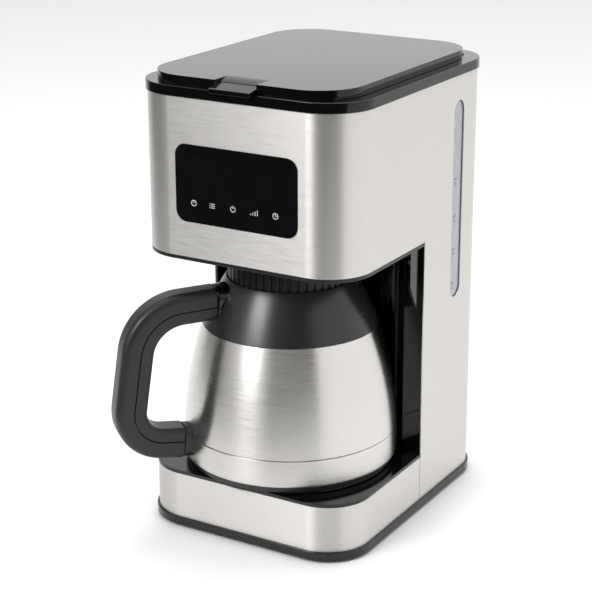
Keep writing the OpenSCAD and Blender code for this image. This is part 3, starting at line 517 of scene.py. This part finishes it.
def make_body():
    make_steel()
    make_softened("bottom_cover", "root", "gloss_black",
                  (0.9, 4, lambda p: p.z > TRAY_TOP - 1e-4 and outside(p)), (0.5, 2, outside))
    make_softened("carafe_platform", "root", "gloss_black",
                  (1.1, 4, lambda p: p.z > PLATFORM_HIGH.z - 0.8 * MM), (0.25, 2, None))
    make_softened("column_front", "root", "gloss_black", (0.5, 3, None))
    make_softened("head_floor", "root", "satin_black", (0.4, 2, None))
    make_softened("top_rim", "root", "gloss_black", (0.55, 4, None))
    make_softened("rear_cover", "root", "matte_black", (0.4, 3, None))
    make_softened("rubber_feet", "root", "foot_rubber", (0.6, 3, None))
    make_softened("cord_gland", "root", "satin_black", (0.6, 3, None))
    make_softened("control_panel", "root", "panel_glass", (0.22, 3, None))
    make_softened("level_window", "root", "window_plastic", (0.3, 2, None))
    make_softened("top_deck", "root", "satin_black", (0.3, 2, None))
    make_softened("lid", "lid", "gloss_black", (1.2, 5, lambda p: p.z > LID_HIGH.z - 1e-4), (0.25, 2, None))
    make_softened("lid_tab", "lid", "gloss_black", (0.35, 3, None))
    make_softened("lid_liner", "lid", "satin_black", (0.5, 3, None))
    make_softened("filter_basket", "basket", "satin_black", (0.4, 2, None))


def outside(p):
    return abs(p.x) > HALF_W - CORNER_R or abs(p.y) > HALF_D - CORNER_R


# ---------------------------------------------------------------- jug
BULGE_R = 300 * MM
BULGE_Z = 60 * MM
JUG_R = 80 * MM
SHEET = 1.0 * MM


def side_r(z):
    """Radius of the jug's bulged side at a height."""
    return JUG_R - BULGE_R + math.sqrt(BULGE_R ** 2 - (z - BULGE_Z) ** 2)


def side_points(low, high, inset=0.0, steps=36):
    heights = [low + (high - low) * i / steps for i in range(steps + 1)]
    return [(side_r(z) - inset, z) for z in heights]


def in_mm(points):
    return [(r * MM, z * MM) for r, z in points]


def make_jug_steel():
    low, high = SHELL_LOW.z, SHELL_HIGH.z
    edge = 0.35 * MM
    outer = side_points(low + edge, high)
    inner = side_points(low, high, SHEET)
    shell = revolve([(side_r(low) - edge, low)] + outer + inner[::-1], (0, JUG_Y))
    add_piece("jug_shell_visual", shell, MATERIALS["jug_steel"], "jug", ["jug_shell"])
    low, high = JUG_LOW.z, JUG_HIGH.z
    turn = 1.6 * MM
    outer = side_points(low + turn, high - edge, steps=14)
    bend = [(side_r(low) - turn * (1 - math.sin(a)), low + turn * (1 - math.cos(a)))
            for a in [math.radians(15 * i) for i in range(7)]]
    inner = side_points(low + SHEET + turn, high, SHEET, steps=14)
    floor_out = [(0, low), (side_r(low) - 12 * MM, low)]
    floor_in = [(side_r(low) - 12 * MM, low + SHEET), (0, low + SHEET)]
    cup = revolve(floor_out + bend[:-1] + outer + [(side_r(high) - edge, high)] + inner[::-1] + floor_in,
                  (0, JUG_Y), closed=False)
    add_piece("jug_cup_visual", cup, MATERIALS["jug_steel"], "jug", ["jug_cup"])
    foot = side_r(JUG_LOW.z) / MM - 2.5
    low = FOOT_LOW.z / MM
    top = FOOT_HIGH.z / MM
    ring = fillet([(62, low + 2), (62, low), (foot, low), (foot, top), (0.01, top), (0.01, low + 2)],
                  [0.5, 0.5, 1.6, 0.2, 0, 0])
    foot_ring = revolve(in_mm(ring), (0, JUG_Y))
    add_piece("jug_foot_visual", foot_ring, MATERIALS["satin_black"], "jug", ["jug_foot"])


def cone(at, r_low, r_high, low, high, steps=48):
    return turned(revolve([(0.0, low), (r_low, low), (r_high, high), (0.0, high)], steps=steps, closed=False),
                  Matrix.Translation(at))


def dome(start, pull, end, steps=18):
    """Points on a smooth curve that leaves start and reaches end, drawn towards pull."""
    along = [i / steps for i in range(steps + 1)]
    return [tuple((1 - t) ** 2 * a + 2 * t * (1 - t) * b + t ** 2 * c for a, b, c in zip(start, pull, end))
            for t in along]


def make_collar():
    low = COLLAR_LOW.z / MM
    top = COLLAR_HIGH.z / MM
    edge = side_r(COLLAR_LOW.z) / MM
    neck = 35.2
    seat = 46.8
    seat_z = low + 28.3
    outer = dome((edge - 0.3, low), (53.6, low + 27), (47.4, top))
    profile = fillet([*outer, (seat, top),
                      (seat, seat_z), (neck, seat_z), (neck, low + 12), (edge - 6, low)],
                     [0.3] + [0] * (len(outer) - 2) + [0.35, 0.2, 0.3, 0.3, 0, 0], steps=8)
    turn = math.radians(50)
    out = 44.2 * MM
    at = Vector((out * math.cos(turn), JUG_Y + out * math.sin(turn), 0))
    spout = cone(at, 3 * MM, 9 * MM, (top - 14) * MM, top * MM)
    channel = cone(at, 2 * MM, 7.6 * MM, (top - 10) * MM, (top + 0.3) * MM)
    core = revolve(in_mm([(0.0, seat_z), (seat, seat_z), (seat, top + 5), (0.0, top + 5)]), (0, JUG_Y),
                   closed=False)
    bm = carve(revolve(in_mm(profile), (0, JUG_Y)), [core, channel], adds=[spout])
    add_piece("jug_collar_visual", bm, MATERIALS["collar_black"], "jug", ["jug_collar"])


RIBS = 48


def make_cap():
    low, edge, top = CAP_LOW.z / MM, 204.0, CAP_HIGH.z / MM
    crest, band, inner, ring = 46.2, 45.1, 42.5, 14.0
    profile = [(inner, low), (crest - 0.4, low), (crest, low + 0.4), (crest, low + 2.4)]
    profile += [(crest - 0.2, low + 2.8), (crest, low + 3.4)]
    profile += [(crest, low + 3.6 + (edge - low - 6) * i / 6) for i in range(7)]
    profile += [(crest - 0.4, edge - 1.4), (crest - 1.1, edge - 0.5), (crest - 2.2, edge)]
    profile += [(ring + 1, top - 0.7), (ring, top - 0.5), (ring - 0.3, top), (5.4, top), (5, top - 0.4),
                (5, edge - 3), (inner, edge - 3)]

    def ribbed(angle, r, z):
        if not (low + 3.0) * MM < z < (edge - 1.0) * MM or r < 44 * MM:
            return r
        phase = (angle * RIBS / (2 * math.pi)) % 1.0
        rib = max(0.0, min(1.0, (0.36 - abs(phase - 0.5)) / 0.07))
        return r - (crest - band) * MM * (1 - rib)

    cap = revolve(in_mm(profile), (0, JUG_Y), steps=RIBS * 14, wave=ribbed)
    add_piece("jug_lid_visual", cap, MATERIALS["cap_black"], "jug_lid", ["jug_lid"], sharp=50)


# ---------------------------------------------------------------- handle
HANDLE_TURN = math.radians(230)
HANDLE_OUT = Vector((math.cos(HANDLE_TURN), math.sin(HANDLE_TURN), 0))
HANDLE_SIDE = Vector((math.sin(HANDLE_TURN), -math.cos(HANDLE_TURN), 0))
GRIP = [Vector((44, 173)), Vector((114, 169.5)), Vector((128, 72)), Vector((86, 68))]
BENDS = [(1, 36.0), (2, 25.0)]
BEND_STEPS = 36
BRACKET_END = 59.0


def in_handle_plane(p):
    return Vector((0, JUG_Y, 0)) + HANDLE_OUT * (p.x * MM) + Vector((0, 0, p.y * MM))


def station(p, way, scale=1.0):
    across = HANDLE_OUT * -way.y + Vector((0, 0, way.x))
    return (in_handle_plane(p), across, HANDLE_SIDE, scale)


def spun(v, a):
    """A flat vector turned by an angle."""
    return Vector((v.x * math.cos(a) - v.y * math.sin(a), v.x * math.sin(a) + v.y * math.cos(a)))


def grip_stations():
    """Places and directions along the D, from the bracket to the lower end."""
    stations = []
    start = GRIP[0] + (GRIP[1] - GRIP[0]).normalized() * (BRACKET_END - GRIP[0].x)
    first = (GRIP[1] - GRIP[0]).normalized()
    stations.append((start, first))
    for i, r in BENDS:
        into = (GRIP[i] - GRIP[i - 1]).normalized()
        away = (GRIP[i + 1] - GRIP[i]).normalized()
        turn = into.angle(away)
        begin = GRIP[i] - into * r * math.tan(turn / 2)
        centre = begin + Vector((into.y, -into.x)) * r
        for k in range(BEND_STEPS + 1):
            a = -turn * k / BEND_STEPS
            stations.append((centre + spun(begin - centre, a), spun(into, a)))
    last = (GRIP[3] - GRIP[2]).normalized()
    stations.append((GRIP[3], last))
    return stations


def with_soft_ends(stations, edge=0.5):
    """Station tuples whose first and last sections draw in a little, for rounded end edges."""
    (p0, w0), (p1, w1) = stations[0], stations[-1]
    soft = [station(p0, w0, 0.965), station(p0 + w0 * edge * 0.35, w0, 0.99), station(p0 + w0 * edge, w0)]
    soft += [station(p, w) for p, w in stations[1:-1]]
    soft += [station(p1 - w1 * edge, w1), station(p1 - w1 * edge * 0.35, w1, 0.99), station(p1, w1, 0.965)]
    return soft


def half_section(flat, edge, half_w, turn, small=0.55):
    corners = [(flat, -half_w), (flat, half_w), (edge, half_w), (edge, -half_w)]
    return in_mm(fillet(corners, [small, small, turn, turn], steps=10))


def make_handle():
    stations = grip_stations()
    corner = 9.5
    outer = sweep(with_soft_ends(stations), half_section(-1.2, 12.0, 11.0, corner))
    grip = MATERIALS["grip_black"]
    add_piece("jug_handle_visual", outer, grip, "jug", ["jug_handle"], sharp=40)
    inner = sweep(with_soft_ends(stations), half_section(-1.8, -11.6, 10.6, corner))
    add_piece("handle_inlay_visual", inner, grip, "jug", ["handle_inlay"], sharp=40)
    full = in_mm(fillet([(-12.4, -11.4), (-12.4, 11.4), (12.4, 11.4), (12.4, -11.4)], corner, steps=12))
    first = (GRIP[1] - GRIP[0]).normalized()
    begin = GRIP[0] + first * 2
    end = GRIP[0] + first * (BRACKET_END - 0.2 - GRIP[0].x)
    drawn_in = [(1.6, 1.0), (0.7, 0.985), (0.2, 0.955), (0.0, 0.92)]
    knuckle = sweep([station(begin, first)] + [station(end - first * back, first, scale)
                                               for back, scale in drawn_in], full)
    add_piece("handle_bracket_visual", knuckle, MATERIALS["gloss_black"], "jug", ["handle_bracket"],
              sharp=50)
    last = (GRIP[3] - GRIP[2]).normalized()
    plain = in_mm(fillet([(-12, -11), (-12, 11), (12, 11), (12, -11)], corner, steps=12))
    foot = sweep([station(GRIP[3] + last * 0.2, last, 0.965), station(GRIP[3] + last * 0.5, last),
                  station(GRIP[3] + last * 13, last)], plain)
    add_piece("handle_foot_visual", foot, grip, "jug", ["handle_foot"], sharp=40)


# ---------------------------------------------------------------- printed marks


def on_panel(u, v, lift):
    return Vector((u, PANEL_LOW.y - 0.01 * MM - lift, v))


def on_window(u, v, lift):
    return Vector((WINDOW_HIGH.x + 0.01 * MM + lift, u, v))


def shifted(points, u, v):
    return [((a + u) * MM, (b + v) * MM) for a, b in points]


def circle_points(r, start=0, end=360, steps=28):
    return arc(0, 0, r, start, end, steps)


def make_marks():
    """Plain pictograms under the display: minutes, programme, power, strength and hours."""
    line = 0.42 * MM
    z = 253.4
    places = [-34.3, -18.9, -2.0, 15.1, 32.3]
    drawings = []
    for x, hand in ((places[0], [(0, 1.5), (0, 0)]), (places[4], [(0, 1.2), (0, 0), (1.0, 0)])):
        drawings.append((circle_points(2.0)[:-1], x, True))
        drawings.append((hand, x, False))
    for row in (-1.4, 0.0, 1.4):
        drawings.append(([(-1.2, row), (2.0, row)], places[1], False))
        drawings.append(([(-2.3, row), (-1.9, row)], places[1], False))
    drawings.append((circle_points(1.9, 120, 420), places[2], False))
    drawings.append(([(0, 0.4), (0, 2.5)], places[2], False))
    for i, tall in enumerate((1.0, 2.0, 3.0, 4.0)):
        drawings.append(([(-2.7 + 1.8 * i, -2.0), (-2.7 + 1.8 * i, -2.0 + tall)], places[3], False))
    marks = [stroke(shifted(points, x, z), line, on_panel, closed=closed) for points, x, closed in drawings]
    add_piece("panel_marks", join(*marks), MATERIALS["print_white"], "root")
    ticks = []
    for z in (249, 220, 194, 167):
        ticks.append(stroke([(52.0 * MM, z * MM), (57.5 * MM, z * MM)], 0.7 * MM, on_window))
        cup = [(0, -0.8), (1.6, -0.8), (1.6, 0.8), (0, 0.8)]
        ticks.append(stroke(shifted(cup, 54, z - 3.4), 0.5 * MM, on_window, closed=True))
    add_piece("window_marks", join(*ticks), MATERIALS["print_grey"], "root")


make_body()
make_jug_steel()
make_collar()
make_cap()
make_handle()
make_marks()

# ---------------------------------------------------------------- stage, lights and camera
TARGET = Vector((0.0, 0.0, 0.172))
CAMERA_TURN = math.radians(30.11)
CAMERA_RISE = math.radians(18.09)
CAMERA_ROLL = math.radians(0.07)
CAMERA_DISTANCE = 1.2755
LENS = 102.45
SHIFT = (-0.0363, -0.0295)
# Brightness of the studio's walls and ground by direction, in degrees from +X towards +Y
WALLS = [(-180, 0.10), (-172, 0.30), (-158, 0.48), (-142, 0.62), (-130, 0.92), (-112, 0.90), (-93, 0.78),
         (-81, 0.28), (-31, 0.10), (-24, 1.15), (60, 1.28), (90, 1.2), (120, 1.1), (145, 1.0), (162, 0.4),
         (180, 0.10)]
GROUND = [(-180, 0.04), (-130, 0.04), (-30, 0.04), (0, 0.9), (120, 1.1), (160, 0.4), (180, 0.04)]
CEILING = 0.8
FLOOR_R = 6.0
FLOOR_FRONT = 0.4
FLOOR_TURN = math.radians(75)


def place_camera():
    data = bpy.data.cameras.new("camera")
    data.lens = LENS
    data.sensor_width = 36.0
    data.shift_x, data.shift_y = SHIFT
    data.clip_start, data.clip_end = 0.05, 50.0
    data.dof.use_dof = False
    camera = bpy.data.objects.new("camera", data)
    bpy.context.scene.collection.objects.link(camera)
    aim = Matrix.Rotation(CAMERA_TURN, 4, "Z") @ Matrix.Rotation(math.pi / 2 - CAMERA_RISE, 4, "X")
    aim = aim @ Matrix.Rotation(CAMERA_ROLL, 4, "Z")
    back = aim.to_3x3() @ Vector((0, 0, 1))
    camera.matrix_world = Matrix.Translation(TARGET + back * CAMERA_DISTANCE) @ aim
    bpy.context.scene.camera = camera


def softbox(name, turn, rise, distance, size, power):
    """A rectangular light at an angle round the object, aimed at it."""
    data = bpy.data.lights.new(name, "AREA")
    data.shape = "RECTANGLE"
    data.size, data.size_y = size
    data.energy = power
    light = bpy.data.objects.new(name, data)
    bpy.context.scene.collection.objects.link(light)
    a, e = math.radians(turn), math.radians(rise)
    out = Vector((math.cos(a) * math.cos(e), math.sin(a) * math.cos(e), math.sin(e)))
    light.location = TARGET + out * distance
    light.rotation_euler = out.to_track_quat("Z", "Y").to_euler()
    light.visible_camera = False
    return light


def ramp(tree, value, stops):
    """A colour ramp of greys: stops are (position, brightness) pairs; brightness may pass 1 by scaling."""
    top = max(level for _, level in stops)
    made = tree.nodes.new("ShaderNodeValToRGB")
    made.color_ramp.interpolation = "EASE"
    tree.links.new(value, made.inputs["Fac"])
    bar = made.color_ramp.elements
    while len(bar) < len(stops):
        bar.new(0.5)
    for element, (place, level) in zip(bar, stops):
        element.position = place
        element.color = (level / top, level / top, level / top, 1)
    scale = tree.nodes.new("ShaderNodeMath")
    scale.operation = "MULTIPLY"
    scale.inputs[1].default_value = top
    tree.links.new(made.outputs["Color"], scale.inputs[0])
    return scale.outputs[0]


def light_the_stage():
    """A studio round the object: white walls behind and at the right, a grey wall at the left,
    and a dark room at the front right. The camera itself sees plain white."""
    world = bpy.data.worlds.new("studio")
    world.use_nodes = True
    bpy.context.scene.world = world
    tree = world.node_tree
    place = tree.nodes.new("ShaderNodeTexCoord").outputs["Generated"]
    parts = tree.nodes.new("ShaderNodeSeparateXYZ")
    tree.links.new(place, parts.inputs[0])

    def maths(operation, *values):
        made = tree.nodes.new("ShaderNodeMath")
        made.operation = operation
        for i, value in enumerate(values):
            if isinstance(value, float):
                made.inputs[i].default_value = value
            else:
                tree.links.new(value, made.inputs[i])
        return made.outputs[0]

    turn = maths("ARCTAN2", parts.outputs["Y"], parts.outputs["X"])
    turn = maths("MULTIPLY_ADD", turn, 0.5 / math.pi, 0.5)
    walls = ramp(tree, turn, [((a + 180) / 360, level) for a, level in WALLS])
    ground = ramp(tree, turn, [((a + 180) / 360, level) for a, level in GROUND])
    rise = maths("MULTIPLY_ADD", parts.outputs["Z"], 0.5, 0.5)
    upper = ramp(tree, rise, [(0.46, 0.0), (0.5, 1.0)])
    ceiling = ramp(tree, rise, [(0.80, 0.0), (0.92, 1.0)])

    def blend(below, above, part):
        kept = maths("MULTIPLY", below, maths("SUBTRACT", 1.0, part))
        return maths("ADD", kept, maths("MULTIPLY", above, part))

    light = blend(ground, walls, upper)
    light = blend(light, CEILING, ceiling)
    seen = tree.nodes.new("ShaderNodeLightPath").outputs["Is Camera Ray"]
    light = blend(light, 1.0, seen)
    shade = tree.nodes["Background"]
    tree.links.new(light, shade.inputs["Strength"])
    shade.inputs["Color"].default_value = (1.0, 0.995, 0.985, 1)
    softbox("left_box", turn=-109, rise=30, distance=1.5, size=(0.52, 0.42), power=10)
    softbox("top_box", turn=100, rise=78, distance=1.7, size=(1.2, 1.2), power=16)
    bpy.context.scene.view_settings.view_transform = "Standard"


def lay_floor():
    bm = bmesh.new()
    middle = Vector((math.cos(FLOOR_TURN), math.sin(FLOOR_TURN), 0)) * (FLOOR_R - FLOOR_FRONT)
    bm.faces.new([bm.verts.new((x, y, 0)) for x, y in arc(middle.x, middle.y, FLOOR_R, 0, 360, 180)[:-1]])
    s = Shader("studio_floor", (0.86, 0.86, 0.86), 0.55)
    s.link(s.blend(s.remap(s.noise(3.0), 0, 1), (0.93, 0.93, 0.93), (0.95, 0.95, 0.95)), "Base Color")
    floor = as_object(bm, "studio_floor")
    floor.data.materials.append(s.material)


place_camera()
light_the_stage()
lay_floor()
